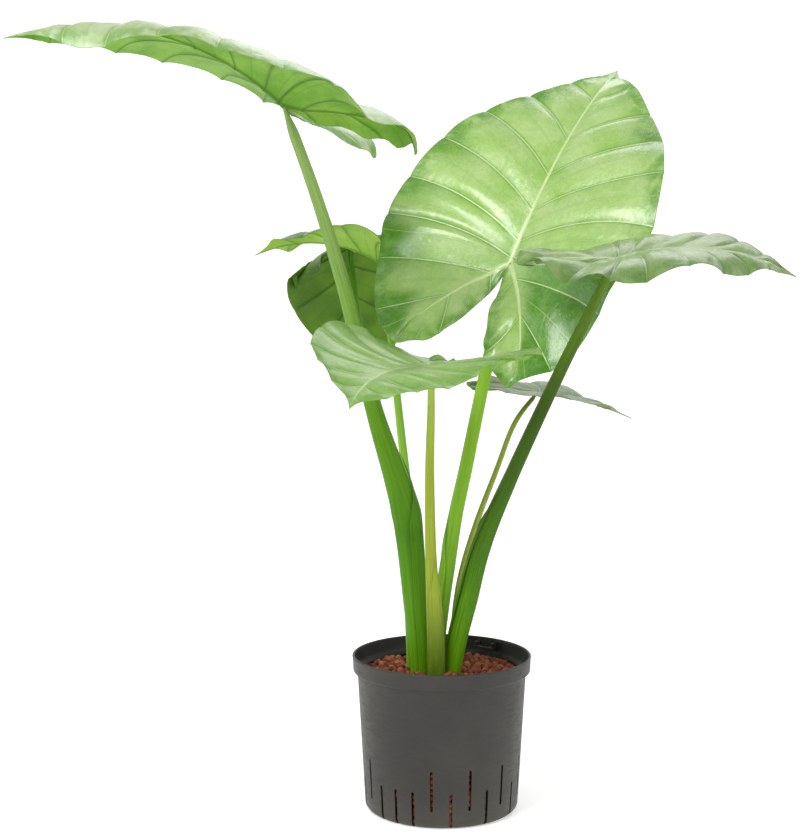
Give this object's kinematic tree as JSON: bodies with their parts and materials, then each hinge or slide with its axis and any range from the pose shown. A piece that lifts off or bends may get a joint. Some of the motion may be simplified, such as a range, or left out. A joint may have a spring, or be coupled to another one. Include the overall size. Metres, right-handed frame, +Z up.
{
  "type": "potted giant taro",
  "caption": "Giant taro plant with broad ribbed heart-shaped leaves on thick sheathed stems, standing in a slotted round grow pot filled with clay pellets.",
  "frame": {"origin": "middle of the pot's underside, on the surface it stands on", "axes": "+Z up; the picture looks along +Y, so +X is to its right and -Y is towards the viewer"},
  "size_m": [0.8845, 0.7163, 0.9401],
  "materials": {
    "pot_plastic": "satin moulded plastic, dark grey",
    "fired_clay": "rough fired clay, red brown",
    "stem_green": "smooth juicy plant stem",
    "stem_dark": "smooth juicy plant stem, dark green",
    "stem_yellow": "smooth juicy plant stem, yellow green",
    "leaf_green": "glossy living leaf with paler veins",
    "leaf_sage": "glossy living leaf with a grey green sheen",
    "leaf_dark": "living leaf seen from its dull underside, dark olive green"
  },
  "bodies": {
    "root": {"pot": "pot_plastic", "clay_pellets": "fired_clay", "stem_upper_left": "stem_green", "stem_right": "stem_dark", "stem_front": "stem_yellow", "stem_centre": "stem_green", "stem_rear_left": "stem_green", "stem_low_right": "stem_yellow", "stem_hanging": "stem_green", "blade_upper_left": "leaf_green", "blade_centre": "leaf_green", "blade_right": "leaf_sage", "blade_rear_left": "leaf_green", "blade_front": "leaf_sage", "blade_low_right": "leaf_sage", "blade_hanging": "leaf_dark"}
  },
  "joints": []
}
